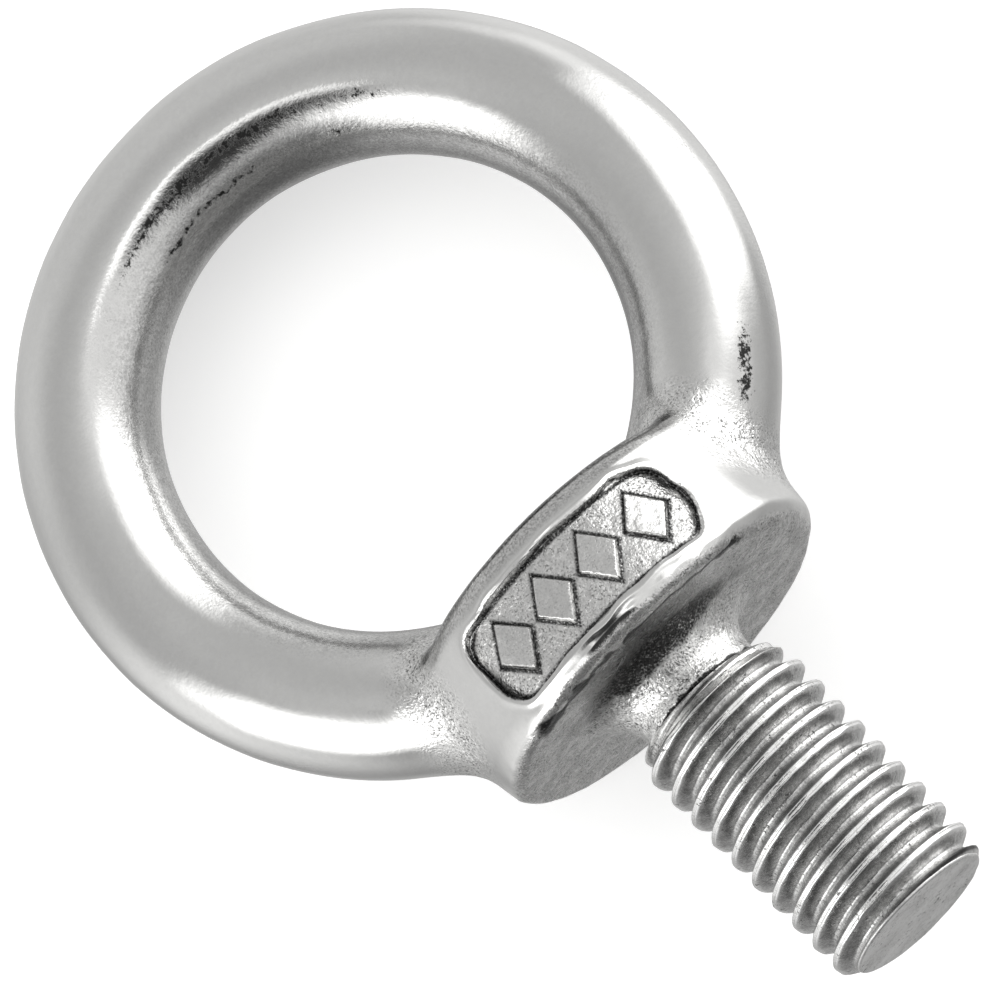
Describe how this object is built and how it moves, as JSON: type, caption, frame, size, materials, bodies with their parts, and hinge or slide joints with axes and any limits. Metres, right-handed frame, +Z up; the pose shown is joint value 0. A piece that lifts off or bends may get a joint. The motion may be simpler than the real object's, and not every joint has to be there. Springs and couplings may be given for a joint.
{
  "type": "lifting eye bolt",
  "caption": "Forged steel eye bolt with a round ring, a collar that seats flat and a threaded shank.",
  "frame": {"origin": "centre of the seat, the flat underside of the collar, on the thread's axis", "axes": "+Z up along the thread's axis towards the ring, the thread points down -Z; the ring lies in the XZ plane and its hole runs along Y; -Y is the face with the raised lozenges"},
  "size_m": [0.041, 0.021, 0.06],
  "materials": {
    "polished_steel": "electropolished stainless steel, bright, with fine cast pits left at the blends",
    "cast_steel": "stainless steel as cast, finely grained",
    "machined_steel": "turned stainless steel thread with bright crests"
  },
  "bodies": {
    "root": {"lifting_ring": "polished_steel", "collar": "polished_steel", "neck": "cast_steel", "threaded_shank": "machined_steel"}
  },
  "joints": []
}
